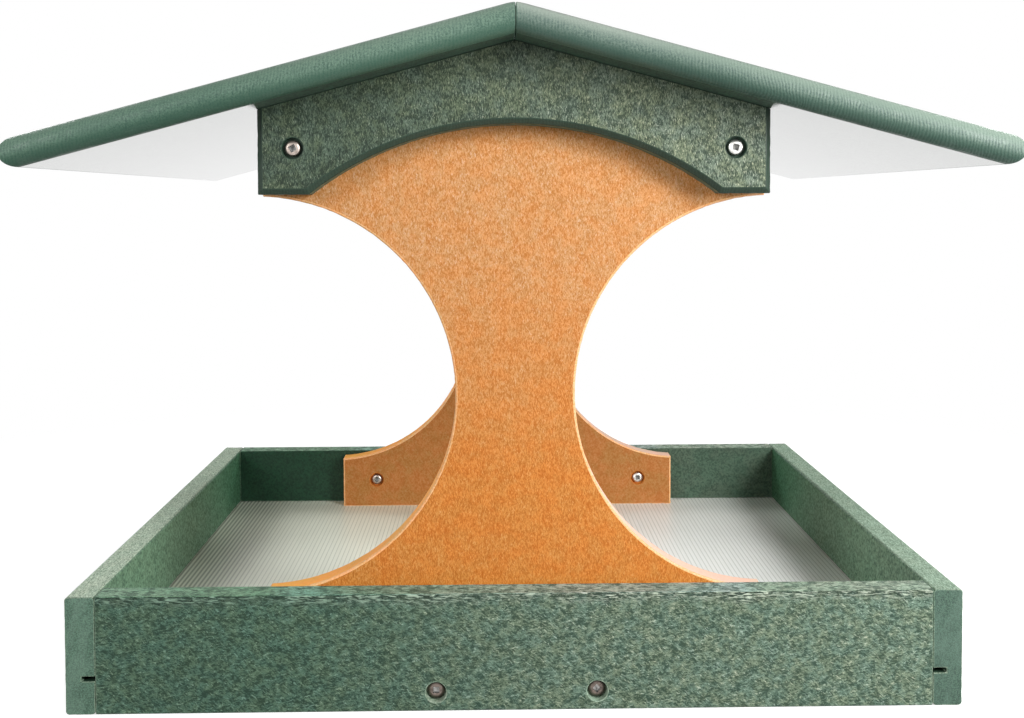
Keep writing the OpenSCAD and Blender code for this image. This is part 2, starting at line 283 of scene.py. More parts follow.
def calc(tree, operation, first, second=0.0):
    """Output of a Math node."""
    return put(tree, "ShaderNodeMath", {"operation": operation},
               {0: first, 1: second}).outputs[0]


def plus(tree, first, second):
    """Sum of two values."""
    return calc(tree, "ADD", first, second)


def minus(tree, first, second):
    """The first value less the second."""
    return calc(tree, "SUBTRACT", first, second)


def times(tree, first, second):
    """Product of two values."""
    return calc(tree, "MULTIPLY", first, second)


def vector_calc(tree, operation, sockets):
    """Outputs of a Vector Math node."""
    return put(tree, "ShaderNodeVectorMath", {"operation": operation}, sockets).outputs


def axes(tree, vector):
    """The three numbers of a vector, by the names of their axes."""
    return put(tree, "ShaderNodeSeparateXYZ", None, {0: vector}).outputs


def laid(tree, vector, scale, rotation=(0.0, 0.0, 0.0)):
    """A vector seen from a frame that is turned and stretched."""
    return put(tree, "ShaderNodeMapping", {"vector_type": "TEXTURE"},
               {"Vector": vector, "Rotation": rotation, "Scale": scale}).outputs[0]


def ramp(tree, value, low, high, start=0.0, end=1.0):
    """Smooth step of a value from low to high."""
    return put(tree, "ShaderNodeMapRange", {"interpolation_type": "SMOOTHSTEP"},
               {"Value": value, "From Min": low, "From Max": high,
                "To Min": start, "To Max": end}).outputs["Result"]


def mix_colors(tree, factor, first, second):
    """Colour output of a Mix node."""
    return put(tree, "ShaderNodeMix", {"data_type": "RGBA"},
               {0: factor, 6: first, 7: second}).outputs[2]


def multiply_colors(tree, first, second):
    """Product of two colours, channel by channel."""
    return put(tree, "ShaderNodeMix", {"data_type": "RGBA", "blend_type": "MULTIPLY"},
               {0: 1.0, 6: first, 7: second}).outputs[2]


def layered(tree, color, *layers):
    """A colour with others laid over it, each by a mask and the strength of that mask."""
    for mask, strength, tone in layers:
        color = mix_colors(tree, times(tree, mask, strength), color, tone)
    return color


def grains(tree, vector, scale, detail=2.0, roughness=0.5, distortion=0.0):
    """Noise value over a vector."""
    return put(tree, "ShaderNodeTexNoise", {"noise_dimensions": "3D"},
               {"Vector": vector, "Scale": scale, "Detail": detail,
                "Roughness": roughness, "Distortion": distortion}).outputs[0]


# Effects that materials share

def new_group(name, inputs, fill):
    """A shader group with named inputs and outputs, whose nodes come from fill."""
    tree = bpy.data.node_groups.new(name, "ShaderNodeTree")
    for label, default in inputs.items():
        kind = "NodeSocketVector" if default is None else "NodeSocketFloat"
        socket = tree.interface.new_socket(name=label, in_out="INPUT", socket_type=kind)
        if default is not None:
            socket.default_value = default
    results = fill(tree, tree.nodes.new("NodeGroupInput").outputs)
    for label in results:
        tree.interface.new_socket(name=label, in_out="OUTPUT", socket_type="NodeSocketFloat")
    end = tree.nodes.new("NodeGroupOutput")
    for label, value in results.items():
        tree.links.new(value, end.inputs[label])
    return tree


def shared_effect(name, inputs):
    """Makes the function below it place its nodes as one group that materials share.

    inputs gives the default of each input of the group, None for a vector. The function
    itself gets the group's tree and inputs, and gives back a value for each output."""
    def wrap(fill):
        @functools.wraps(fill)
        def place(tree, sockets):
            group = bpy.data.node_groups.get(name) or new_group(name, inputs, fill)
            return put(tree, "ShaderNodeGroup", {"node_tree": group}, sockets).outputs
        return place
    return wrap


@shared_effect("Pressed Fibre", {"Vector": None, "Stretch": 3.0, "Cross": 0.35, "Curl": 0.8,
                                 "Patch Size": 8.0, "Clumping": 0.04})
def pressed_fibre(tree, inputs):
    """Short plastic fibres pressed into a board: one unit of the vector is one fibre.

    Two layers of fibres lie across each other by the angle Cross. Curl bends them. Patch
    Size is the width in fibres of the patches where Clumping parts them into dark gaps."""
    vector = inputs["Vector"]
    bend = put(tree, "ShaderNodeTexNoise", {"noise_dimensions": "3D"},
               {"Vector": vector, "Scale": 0.45, "Detail": 2.0}).outputs["Color"]
    centred = vector_calc(tree, "SUBTRACT", {0: bend, 1: (0.5, 0.5, 0.5)})[0]
    offset = vector_calc(tree, "SCALE", {0: centred, "Scale": inputs["Curl"]})[0]
    bent = vector_calc(tree, "ADD", {0: vector, 1: offset})[0]
    layers = []
    for sign, shift in ((1.0, 0.0), (-1.0, 37.0)):
        turned = put(tree, "ShaderNodeVectorRotate", {"rotation_type": "Y_AXIS"},
                     {"Vector": bent, "Angle": times(tree, inputs["Cross"], sign)}).outputs[0]
        parts = axes(tree, turned)
        along = plus(tree, calc(tree, "DIVIDE", parts["X"], inputs["Stretch"]), shift)
        lane = put(tree, "ShaderNodeCombineXYZ", None,
                   {"X": along, "Y": parts["Y"], "Z": parts["Z"]}).outputs[0]
        layers.append(grains(tree, lane, 1.0, 3.0, 0.62, 0.3))
    strands = put(tree, "ShaderNodeMath", {"operation": "MULTIPLY_ADD"},
                  {0: layers[0], 1: 0.55, 2: times(tree, layers[1], 0.45)}).outputs[0]
    patch_scale = calc(tree, "DIVIDE", 1.0, inputs["Patch Size"])
    patches = grains(tree, vector, patch_scale, 4.0, 0.62, 0.6)
    patch = ramp(tree, patches, 0.44, 0.60)
    parted = minus(tree, strands, times(tree, patch, inputs["Clumping"]))
    tint = grains(tree, vector, times(tree, patch_scale, 0.45), 3.0, 0.65)
    return {"Fibre": ramp(tree, parted, 0.35, 0.59), "Patch": patch,
            "Fleck": ramp(tree, calc(tree, "MAXIMUM", *layers), 0.60, 0.72),
            "Tint": ramp(tree, tint, 0.36, 0.64),
            "Relief": plus(tree, times(tree, strands, 0.7), times(tree, patches, 0.3))}


@shared_effect("Torn Edge", {"Vector": None, "Edge Height": 0.0635, "Reach": 0.008})
def torn_edge(tree, inputs):
    """Tears that run along a sawn top edge and fade with the distance below it.

    Mask is where they are pale, and Crack the dark gaps between them."""
    vector, reach = inputs["Vector"], inputs["Reach"]
    below = minus(tree, inputs["Edge Height"], axes(tree, vector)["Z"])
    wander = times(tree, grains(tree, vector, 60.0), reach)
    fade = ramp(tree, calc(tree, "DIVIDE", plus(tree, below, wander), reach), 1.25, 0.35)
    stretched = laid(tree, vector, (0.0055, 0.0012, 0.0008), (0.0, 0.06, 0.0))
    tears = grains(tree, stretched, 1.0, 3.0, 0.6, 0.5)
    return {"Mask": times(tree, fade, ramp(tree, tears, 0.50, 0.60)),
            "Crack": times(tree, fade, ramp(tree, tears, 0.50, 0.43))}


@shared_effect("Router Chatter", {"Vector": None})
def router_chatter(tree, inputs):
    """Fine marks across a routed edge: one unit of the vector along X is one mark."""
    vector = inputs["Vector"]
    uneven = times(tree, grains(tree, vector, 0.12), 3.0)
    turns = times(tree, plus(tree, axes(tree, vector)["X"], uneven), math.tau)
    lifted = plus(tree, times(tree, calc(tree, "SINE", turns), 0.5), 0.5)
    strength = ramp(tree, grains(tree, vector, 0.035, 3.0), 0.30, 0.55, 0.45, 1.0)
    return {"Mark": times(tree, lifted, strength)}


@shared_effect("Sawn Speckle", {"Vector": None, "Band Width": 0.012})
def sawn_speckle(tree, inputs):
    """Fine speckle and broad soft bands of a sawn board end."""
    vector = inputs["Vector"]
    slanted = laid(tree, vector, (0.7, 0.7, 2.4), (0.0, 0.3, 0.0))
    bands = grains(tree, slanted, calc(tree, "DIVIDE", 1.0, inputs["Band Width"]))
    return {"Speckle": ramp(tree, grains(tree, vector, 1500.0, 3.0, 0.7), 0.34, 0.66),
            "Band": ramp(tree, bands, 0.38, 0.62)}


@shared_effect("Tone And Painted Light Drift", {"Vector": None, "Direction": None, "Start": 0.0, "End": 0.1,
                              "Wander": 0.03})
def tone_and_painted_light_drift(tree, inputs):
    """Slow drift along a board, with a wandering border.

    Partly the board's uneven tone, partly painted light and shade.
    """
    vector = inputs["Vector"]
    along = vector_calc(tree, "DOT_PRODUCT", {0: vector, 1: inputs["Direction"]})["Value"]
    cloud = minus(tree, grains(tree, vector, 22.0, 4.0, 0.6), 0.5)
    place = plus(tree, along, times(tree, cloud, inputs["Wander"]))
    return {"Mask": ramp(tree, place, inputs["Start"], inputs["End"])}


@shared_effect("Upper Side", {"Normal": None})
def upper_side(tree, inputs):
    """How far a surface faces up: Crest on the upper side of an edge, Hollow under it.

    The two masks say where light and shade are painted.
    """
    rise = axes(tree, inputs["Normal"])["Z"]
    return {"Crest": ramp(tree, rise, 0.0, 0.85), "Hollow": ramp(tree, rise, 0.05, -0.6)}


# Finishes

def new_material(name):
    """The tree, empty Principled surface and object coordinates of a new material."""
    material = bpy.data.materials.new(name)
    material.use_nodes = True
    tree = material.node_tree
    tree.nodes.clear()
    surface = tree.nodes.new("ShaderNodeBsdfPrincipled")
    put(tree, "ShaderNodeOutputMaterial", None, {"Surface": surface.outputs[0]})
    return tree, surface, tree.nodes.new("ShaderNodeTexCoord").outputs["Object"]


def drifted(tree, coords, color, drift):
    """The colour times a tone that drifts along the board, where a drift is given.

    The drift is partly the board's uneven tone, partly painted light and shade. A drift
    is a direction, where it starts and ends, and the tones at its two ends."""
    if drift is None:
        return color
    direction, start, end, first, last = drift
    mask = tone_and_painted_light_drift(tree, {"Vector": coords, "Direction": direction, "Start": start,
                             "End": end})["Mask"]
    return multiply_colors(tree, color,
                           mix_colors(tree, mask, first + (1.0,), last + (1.0,)))


def finish_surface(tree, surface, color, roughness, height, relief, strength=0.8,
                   shine=0.5):
    """Feeds the surface with a colour, a roughness and a bump of the given depth."""
    surface.inputs["Specular IOR Level"].default_value = shine
    tree.links.new(color, surface.inputs["Base Color"])
    tree.links.new(roughness, surface.inputs["Roughness"])
    bump = put(tree, "ShaderNodeBump", None,
               {"Strength": strength, "Distance": relief, "Height": height})
    tree.links.new(bump.outputs[0], surface.inputs["Normal"])


def fibre_finish(name, dark, mid, light, width, stretch, lie, cross=0.3, curl=0.8,
                 patch_size=10.0, patch_gain=0.5, fleck_gain=0.5, fibre_gain=1.0,
                 relief=0.00025, rough=(0.72, 0.52), shine=0.3, torn=None, drift=None,
                 middle=None, gloss=None, tints=((1.06, 0.99, 1.00), (0.94, 1.01, 1.00))):
    """Recycled plastic whose fibres have the given width and stretch.

    lie turns the fibres from X to where they point, and cross is the angle between their
    layers. torn is the height and reach of a torn top edge, and drift is as in drifted.
    tints are the two tones between which the blend of recycled plastic wanders. middle is
    a tone of painted light and shade laid around the feeder's middle, with where it starts
    and ends to fade out from there. gloss is the roughness of a smooth moulded skin, which
    has that tone and is dull only where the roof reaches past the fascias."""
    tree, surface, coords = new_material(name)
    pressed = pressed_fibre(tree, {
        "Vector": laid(tree, coords, (width, width, width), lie), "Stretch": stretch,
        "Cross": cross, "Curl": curl, "Patch Size": patch_size,
        "Clumping": 0.07 * patch_gain})
    streak = ramp(tree, pressed["Fibre"], 0.0, 1.0, 0.5 - fibre_gain / 2,
                  0.5 + fibre_gain / 2)
    color = mix_colors(tree, streak, shade(dark, 1.0), shade(mid, 1.0))
    color = layered(tree, color,
                    (pressed["Patch"], 0.3 * patch_gain, blend_colors(dark, mid, 0.1)),
                    (pressed["Fleck"], fleck_gain, shade(light, 1.0)))
    tint = mix_colors(tree, pressed["Tint"], tints[0] + (1.0,), tints[1] + (1.0,))
    color = multiply_colors(tree, color, tint)
    height = pressed["Relief"]
    if torn is not None:
        edge = torn_edge(tree, {"Vector": coords, "Edge Height": torn[0], "Reach": torn[1]})
        color = layered(tree, color, (edge["Crack"], 0.8, shade(dark, 0.4)),
                        (edge["Mask"], 0.8, shade(light, 1.7)))
        height = minus(tree, plus(tree, height, edge["Mask"]), edge["Crack"])
    color = drifted(tree, coords, color, drift)
    roughness = ramp(tree, pressed["Fibre"], 0.0, 1.0, *rough)
    # The middle tone paints light and shade around the feeder's middle
    if middle is not None:
        tone, fade_start, fade_end = middle
        place = axes(tree, coords)
        outside = ramp(tree, calc(tree, "ABSOLUTE", place["X"]), fade_start, fade_end)
        if gloss is not None:
            within = ramp(tree, calc(tree, "ABSOLUTE", place["Y"]), REACH_END, REACH_START)
            outside = calc(tree, "MAXIMUM", outside, within)
            roughness = put(tree, "ShaderNodeMix", None,
                            {0: outside, 2: 0.8, 3: roughness}).outputs[0]
            tree.links.new(outside, surface.inputs["Coat Weight"])
            surface.inputs["Coat Roughness"].default_value = gloss
        color = mix_colors(tree, outside, multiply_colors(tree, color, tone + (1.0,)), color)
    finish_surface(tree, surface, color, roughness, height, relief, shine=shine)


def sawn_finish(name, dark, mid, light, drift):
    """Sawn end of a board: smooth and finely speckled, with soft slanting bands."""
    tree, surface, coords = new_material(name)
    sawn = sawn_speckle(tree, {"Vector": coords, "Band Width": 0.011})
    color = mix_colors(tree, sawn["Speckle"], shade(dark, 1.15), shade(mid, 1.05))
    color = layered(tree, color, (sawn["Band"], 0.30, blend_colors(mid, light, 0.45)))
    color = drifted(tree, coords, color, drift)
    roughness = ramp(tree, sawn["Band"], 0.0, 1.0, 0.62, 0.45)
    finish_surface(tree, surface, color, roughness, sawn["Speckle"], 0.00008)


def routed_finish(name, dark, mid, light, mark, turn=(0.0, 0.0, 0.0), gain=1.0,
                  crest=0.0, hollow=0.0, drift=None):
    """Routed edge: fine speckle, faint marks across it, and a few pale grains.

    mark is the distance between the marks, and turn lays them along another axis. crest
    is how much painted light pales the upper side, hollow how much painted shade darkens
    the lower side, and drift is as in drifted."""
    tree, surface, coords = new_material(name)
    marks = laid(tree, coords, (mark, mark, mark), turn)
    chatter = router_chatter(tree, {"Vector": marks})["Mark"]
    speckle = grains(tree, coords, 1250.0, 3.0, 0.7)
    cloud = ramp(tree, grains(tree, coords, 95.0, 3.0, 0.6), 0.40, 0.62)
    color = mix_colors(tree, ramp(tree, speckle, 0.38, 0.62), shade(dark, 0.95),
                       shade(mid, 0.95))
    color = layered(tree, color, (cloud, 0.35, blend_colors(dark, mid, 0.35)),
                    (chatter, 0.28 * gain, blend_colors(mid, light, 0.5)))
    color = mix_colors(tree, ramp(tree, speckle, 0.66, 0.76, 0.0, 0.6), color,
                       shade(light, 0.9))
    # Painted light on the upward side of the edge and painted shade under it
    side = upper_side(tree, {
        "Normal": tree.nodes.new("ShaderNodeNewGeometry").outputs["Normal"]})
    color = layered(tree, color, (side["Crest"], crest, shade(light, 1.3)),
                    (side["Hollow"], hollow, multiplied(dark, (0.56, 0.80, 0.68))))
    color = drifted(tree, coords, color, drift)
    height = plus(tree, times(tree, chatter, 0.5 * gain), speckle)
    roughness = ramp(tree, cloud, 0.0, 1.0, 0.42, 0.56)
    finish_surface(tree, surface, color, roughness, height, 0.00010, shine=0.3)


def sheet_finish(name, skin, web, pitch):
    """Milky fluted sheet: webs as fine lines along Y, a few scuffs, a soft gloss.

    The hollows between the webs are dark beside the left side rail as painted shade,
    and the whole sheet is lightened, a little more towards the right, as painted light."""
    tree, surface, coords = new_material(name)
    across = axes(tree, coords)["X"]
    place = calc(tree, "PINGPONG", calc(tree, "DIVIDE", across, pitch), 0.5)
    line = ramp(tree, place, 0.16, 0.03)
    cast = grains(tree, laid(tree, coords, (0.004, 0.09, 0.01)), 1.0, 3.0, 0.6)
    scuff = ramp(tree, grains(tree, coords, 260.0, 4.0, 0.7), 0.55, 0.75)
    color = mix_colors(tree, times(tree, line, 0.85), shade(skin, 1.0), shade(web, 1.0))
    # Painted shade: the hollows darken beside the left side rail
    valley = times(tree, ramp(tree, place, 0.38, 0.14),
                   ramp(tree, across, -0.165, -0.215, 0.0, 0.65))
    color = mix_colors(tree, valley, color, shade(web, 0.42))
    color = mix_colors(tree, ramp(tree, cast, 0.35, 0.7, 0.0, 0.12), color, shade(web, 1.0))
    color = layered(tree, color, (scuff, 0.12, shade(skin, 1.15)))
    # Painted light: the sheet is lightened, a little more towards the right
    color = drifted(tree, coords, color,
                    (ALONG_X, -0.1, 0.12, (1.12, 1.11, 1.10), (1.17, 1.14, 1.26)))
    height = plus(tree, times(tree, line, 0.8), times(tree, cast, 0.1))
    roughness = ramp(tree, scuff, 0.0, 1.0, 0.34, 0.50)
    finish_surface(tree, surface, color, roughness, height, 0.00006, 0.5)
    surface.inputs["IOR"].default_value = 1.52
    surface.inputs["Transmission Weight"].default_value = 0.12


def steel_finish(name, steel, gain=1.0, rough=0.34):
    """Stainless steel with a fine grain and dull stains."""
    tree, surface, coords = new_material(name)
    grain = grains(tree, coords, 2600.0, 3.0, 0.6)
    stain = grains(tree, coords, 420.0, 3.0, 0.6)
    color = mix_colors(tree, ramp(tree, stain, 0.42, 0.68), shade(steel, gain),
                       shade(steel, 0.62 * gain))
    color = mix_colors(tree, ramp(tree, grain, 0.5, 0.8, 0.0, 0.3), color,
                       shade(steel, 1.1 * gain))
    roughness = ramp(tree, stain, 0.35, 0.7, rough, rough + 0.18)
    finish_surface(tree, surface, color, roughness, grain, 0.00003, 0.5)
    surface.inputs["Metallic"].default_value = 1.0


def green_finishes(dark, mid, light):
    """The finishes of the green boards: their faces, ends, edges and bores."""
    green = (dark, mid, light)
    grey_green = ((1.06, 1.00, 0.94), (0.87, 0.96, 1.01))
    pressed = {"width": 0.00078, "stretch": 4.6, "cross": 0.42, "curl": 2.4,
               "patch_size": 5.0, "patch_gain": 0.8, "fleck_gain": 0.95, "relief": 0.0005,
               "tints": grey_green}
    # The drift is partly the board's uneven tone, partly painted light: darker at the left,
    # lighter at the right
    fibre_finish("green pressed", *green, lie=SLANTED, torn=(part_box("front_rail")[1][2], 0.010),
                 drift=(ALONG_X, -0.14, 0.05, (0.615, 0.725, 0.71), (1.26, 1.12, 1.17)),
                 **pressed)
    fibre_finish("green pressed side", *green, lie=ENDWAYS, **pressed)
    # The drift paints light, lighter towards the right, and the middle tone paints light around
    # the middle
    fibre_finish("green planed along x", dark, blend_colors(mid, light, 0.3),
                 shade(light, 1.15), width=0.0007, stretch=7.0, lie=ACROSS, cross=0.12,
                 curl=1.6, patch_size=9.0, patch_gain=1.1, fleck_gain=0.8, relief=0.0005,
                 rough=(0.66, 0.46), middle=((1.12, 1.16, 1.40), 0.120, 0.137),
                 drift=(ALONG_X, -0.14, 0.05, (0.88, 1.24, 1.02), (1.72, 1.56, 1.58)))
    # The drift paints light on the side rail tops, lighter towards the left rail
    fibre_finish("green planed along y", blend_colors(dark, mid, 0.7),
                 blend_colors(mid, light, 0.85), shade(light, 1.6), width=0.0006,
                 stretch=6.0, lie=ENDWAYS, cross=0.2, curl=1.4, patch_size=12.0,
                 patch_gain=0.3, fleck_gain=0.8, fibre_gain=0.8, relief=0.0003,
                 rough=(0.75, 0.60), shine=0.15, tints=((1.02, 1.0, 1.0), (0.98, 1.0, 1.0)),
                 drift=(ALONG_X, -0.1, 0.1, (1.62, 1.50, 1.56), (1.00, 1.04, 1.03)))
    inner = {"width": 0.0016, "stretch": 1.3, "lie": UPRIGHT, "cross": 0.6, "curl": 1.0,
             "patch_size": 5.0, "relief": 0.00012, "rough": (0.58, 0.42)}
    # Darker copy of the green: painted shade on inner faces; the drift paints deep shadow at the
    # left
    dim = (shade(dark, 0.8), blend_colors(dark, mid, 0.45), mid)
    fibre_finish("green inner", *dim, patch_gain=0.5, fleck_gain=0.2, fibre_gain=0.6,
                 drift=(ALONG_X, -0.18, 0.16, (0.21, 0.48, 0.37), (1.18, 1.12, 1.14)),
                 **inner)
    # A lit copy of the inner tones paints light on the side rails' inner faces; the drift paints
    # shade towards the back
    bright = [multiplied(tone, (2.15, 2.65, 2.35)) for tone in dim]
    fibre_finish("green inner side", *bright, patch_gain=0.4, fleck_gain=0.35,
                 fibre_gain=0.85, tints=((1.03, 1.0, 1.0), (0.98, 1.0, 1.0)),
                 drift=(ALONG_Y, 0.02, 0.15, (1.04, 0.95, 1.00), (0.45, 0.57, 0.53)),
                 **inner)
    # The drift paints shade on the left of the fascia and light on its right
    fibre_finish("green gable", shade(dark, 0.8), mid, shade(light, 1.2), width=0.00055,
                 stretch=3.2, lie=UPRIGHT, cross=0.22, curl=1.2, patch_size=8.0,
                 patch_gain=0.8, fleck_gain=0.85, rough=(0.60, 0.46),
                 tints=((1.05, 1.00, 0.92), (0.96, 0.98, 1.06)),
                 drift=(ALONG_X, -0.12, 0.12, (0.54, 0.515, 0.48), (1.27, 1.03, 1.03)))
    fibre_finish("green roof skin", *green, width=0.0008, stretch=4.0, lie=ENDWAYS,
                 cross=0.25, curl=1.6, patch_size=8.0, patch_gain=0.8, rough=(0.9, 0.8),
                 shine=0.08, tints=grey_green)
    # The middle tone paints shade on the underside where the roof reaches past the fascias
    fibre_finish("green moulded", shade(dark, 0.9), blend_colors(dark, mid, 0.8), mid,
                 width=0.0012, stretch=4.0, lie=ENDWAYS, patch_gain=0.4, fleck_gain=0.3,
                 relief=0.00001, rough=(0.16, 0.10), shine=0.5, gloss=0.03,
                 middle=((0.185, 0.34, 0.27), 0.131, 0.138))
    fibre_finish("green arris", blend_colors(dark, mid, 0.3), blend_colors(mid, light, 0.35),
                 shade(light, 1.1), width=0.0007, stretch=2.0, lie=ACROSS, cross=0.7,
                 patch_gain=0.3, fleck_gain=0.7, relief=0.0002)
    # Darker than the faces: painted shade in the counterbores and the side rails' grooves
    fibre_finish("green bored", shade(dark, 0.6), dark, mid, rough=(0.6, 0.5), **BORED)
    # Paler than the faces: painted light on the lit walls of the end rails' counterbores
    fibre_finish("green bored lit", mid, light, shade(light, 1.2), rough=(0.6, 0.5), **BORED)
    # The drift darkens the sawn ends towards the right: partly the board's tone, partly painted
    # shade
    sawn_finish("green sawn", *[multiplied(tone, (0.78, 0.92, 0.95)) for tone in green],
                (ALONG_X, -0.1, 0.1, (0.94, 0.98, 0.96), (0.60, 0.65, 0.65)))
    bluer = [blend_colors(tone, (0.12, 0.26, 0.22), 0.25) for tone in green]
    bluer = [multiplied(tone, (0.76, 0.77, 0.77)) for tone in bluer]
    greyer = [multiplied(tone, (1.08, 0.98, 1.04)) for tone in bluer]
    # The drifts paint light near the ridge; crest and hollow paint light above and shade below
    routed_finish("green routed", *bluer, mark=0.0017, crest=0.17, hollow=0.75,
                  drift=(ALONG_X, -0.17, -0.04, (1.00, 1.07, 1.03), (1.50, 1.40, 1.42)))
    # The right panel is a greyer and lit copy of the left: more painted light on its upper side
    routed_finish("green routed pale and lit", *greyer, mark=0.0017, gain=1.5, crest=0.50,
                  hollow=0.80, drift=(ALONG_X, 0.03, 0.11, (1.45, 1.30, 1.36), UNCHANGED))
    routed_finish("green routed eave", *bluer, mark=0.0017, turn=ENDWAYS, crest=0.2,
                  hollow=0.4)
    routed_finish("green chamfer", shade(dark, 0.55), shade(dark, 0.9), mid, mark=0.0016,
                  gain=0.4)


def cedar_finishes(dark, mid, light):
    """The finishes of the cedar coloured boards: their faces, edges and bores."""
    # The drift paints a sheen: paler and pinker towards the top, deeper orange towards the foot
    fibre_finish("cedar face", dark, mid, light, width=0.00055, stretch=3.0, lie=UPRIGHT,
                 cross=0.25, curl=1.2, patch_size=9.0, patch_gain=0.4, fleck_gain=0.55,
                 relief=0.0002, rough=(0.60, 0.46),
                 tints=((1.03, 0.96, 0.87), (0.97, 1.03, 1.12)),
                 drift=(ALONG_Z, 0.10, 0.27, (0.78, 0.69, 0.465), (0.765, 0.89, 1.25)))
    # Darker than the face: painted shade on the inner faces of the post boards
    fibre_finish("cedar inner", shade(dark, 0.62), shade(mid, 0.55), shade(light, 0.5),
                 width=0.0012, stretch=1.6, lie=UPRIGHT, cross=0.5, curl=1.0,
                 patch_size=6.0, fleck_gain=0.25, fibre_gain=0.8, relief=0.0001,
                 rough=(0.6, 0.45))
    # The peach tone paints a highlight on the cut edges, which the drift takes off towards the
    # left
    painted_highlight_peach = (0.90, 0.64, 0.54)
    edge = [blend_colors(multiplied(tone, (0.94, 0.93, 0.80)), painted_highlight_peach, 0.75)
            for tone in (dark, mid, light)]
    fibre_finish("cedar edge", *edge, width=0.0010, stretch=4.0, lie=ENDWAYS,
                 patch_gain=0.3, fleck_gain=0.4, relief=0.00012, rough=(0.7, 0.6), shine=0.1,
                 drift=(ALONG_X, -0.02, 0.02, (1.10, 0.74, 0.20), UNCHANGED))
    fibre_finish("cedar arris", mid, blend_colors(mid, light, 0.6), light, width=0.0008,
                 stretch=2.0, lie=ACROSS, cross=0.7, patch_gain=0.2, relief=0.0002)
    # Darker than the face: painted shade in the counterbores
    fibre_finish("cedar bored", shade(dark, 0.8), shade(dark, 1.0), mid, **BORED)


def finishes():
    """All materials by name, built once from the settings."""
    if "green pressed" not in bpy.data.materials:
        scene = bpy.context.scene
        boards, sheet, screws = scene.feeder_boards, scene.feeder_sheet, scene.feeder_screws
        green_finishes(boards.green_dark, boards.green_mid, boards.green_light)
        cedar_finishes(boards.cedar_dark, boards.cedar_mid, boards.cedar_light)
        sheet_finish("fluted sheet", sheet.skin, sheet.web, sheet.flute_pitch)
        steel_finish("screw steel", screws.steel)
        # The brace screws' darker heads paint the shade of their deep counterbores
        steel_finish("screw head deep shade", screws.deep_shade_steel, rough=0.36)
        # Darker recess steel paints the shade inside the square drives, lighter for the brace
        # screws
        steel_finish("screw recess", screws.steel, 0.30, 0.45)
        steel_finish("screw recess half shade", screws.steel, 0.45, 0.40)
        steel_finish("screw shaded", multiplied(screws.steel, (0.60, 0.52, 0.48)))
    return bpy.data.materials


# Shapes shared by the operators

def verts_of(geom):
    """The vertices in what a bmesh operator gives back."""
    return [item for item in geom if isinstance(item, bmesh.types.BMVert)]


def edges_of(geom):
    """The edges in what a bmesh operator gives back."""
    return [item for item in geom if isinstance(item, bmesh.types.BMEdge)]


def add_object(name, data):
    """A new object in the scene."""
    thing = bpy.data.objects.new(name, data)
    bpy.context.scene.collection.objects.link(thing)
    return thing


def screw_axes():
    """For each screw node: its seat under the head, its outward direction and shank length."""
    places = {}
    slope = {"left": -math.sin(ROOF_PITCH), "right": math.sin(ROOF_PITCH)}
    for name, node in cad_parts.items():
        words = name.split("_")
        if words[1] != "screw":
            continue
        back = -1 if words[2] == "front" else 1
        side = -1 if words[3] == "left" else 1
        outward = {
            "gable": Vector((0, back, 0)),
            "brace": Vector((0, back, 0)),
            "post": Vector((0, -back, 0)),
            "corner": Vector((side, 0, 0)),
            "roof": Vector((slope[words[3]], 0, math.cos(ROOF_PITCH))),
        }[words[0]]
        points = [vert.co.copy() for vert in node.data.vertices]
        reach = [point.dot(outward) for point in points]
        low, high = min(reach), max(reach)
        tips = [point for point, far in zip(points, reach) if far < low + TIP_REACH]
        tip = sum(tips, Vector()) / len(tips)
        length = high - low - HEAD_H
        places[name] = (tip + outward * length, outward, length)
    return places


def in_bore(point, places):
    """Whether a point lies beside the axis of a screw, inside its counterbore."""
    for seat, outward, length in places.values():
        along = (point - seat).dot(outward)
        if -length - PILOT_REACH < along < BORE_DEPTH and \
                (point - seat - outward * along).length < BORE_REACH:
            return True
    return False


def merged_copy(node):
    """A bmesh of a CAD node with its doubles merged and its flat faces joined."""
    bm = bmesh.new()
    bm.from_mesh(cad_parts[node].data)
    bmesh.ops.remove_doubles(bm, verts=bm.verts, dist=DOUBLE_REACH)
    bmesh.ops.dissolve_limit(bm, angle_limit=FLAT_ANGLE, verts=bm.verts, edges=bm.edges,
                             delimit={"NORMAL"})
    bmesh.ops.recalc_face_normals(bm, faces=bm.faces)
    return bm


def break_edges(bm, width, slot):
    """Bevels every sharp edge and gives the new faces a slot of their own."""
    sharp = [edge for edge in bm.edges
             if len(edge.link_faces) == 2 and edge.calc_face_angle(0) > SHARP_ANGLE]
    made = bmesh.ops.bevel(bm, geom=sharp, affect="EDGES", offset=width, segments=2,
                           profile=0.5, material=-1, clamp_overlap=False)
    for face in made["faces"]:
        face.material_index = slot


def nibble_edges(bm, slot, depth, step):
    """Cuts the long broken edges into short steps and tears them a little with noise."""
    by_cuts = {}
    for edge in bm.edges:
        length = edge.calc_length()
        narrow = [face for face in edge.link_faces if face.material_index == slot
                  and face.calc_area() < length * NARROW_FACE]
        if narrow and length > 2 * step:
            by_cuts.setdefault(int(length / step + 0.5), []).append(edge)
    cut_mark = bm.verts.layers.int.new("cut")
    for cuts, edges in sorted(by_cuts.items()):
        cut = bmesh.ops.bisect_edges(bm, edges=edges, cuts=cuts)
        for vert in verts_of(cut["geom_split"]):
            vert[cut_mark] = 1
    bmesh.ops.triangulate(bm, faces=[face for face in bm.faces if len(face.verts) > 4])
    bm.normal_update()
    for vert in bm.verts:
        if vert[cut_mark]:
            coarse = noise.noise(vert.co * COARSE_TEARS)
            fine = noise.noise(vert.co * FINE_TEARS)
            vert.co -= vert.normal * depth * max(0.0, coarse * 0.7 + fine * 0.5 + 0.25)
    bm.verts.layers.int.remove(cut_mark)


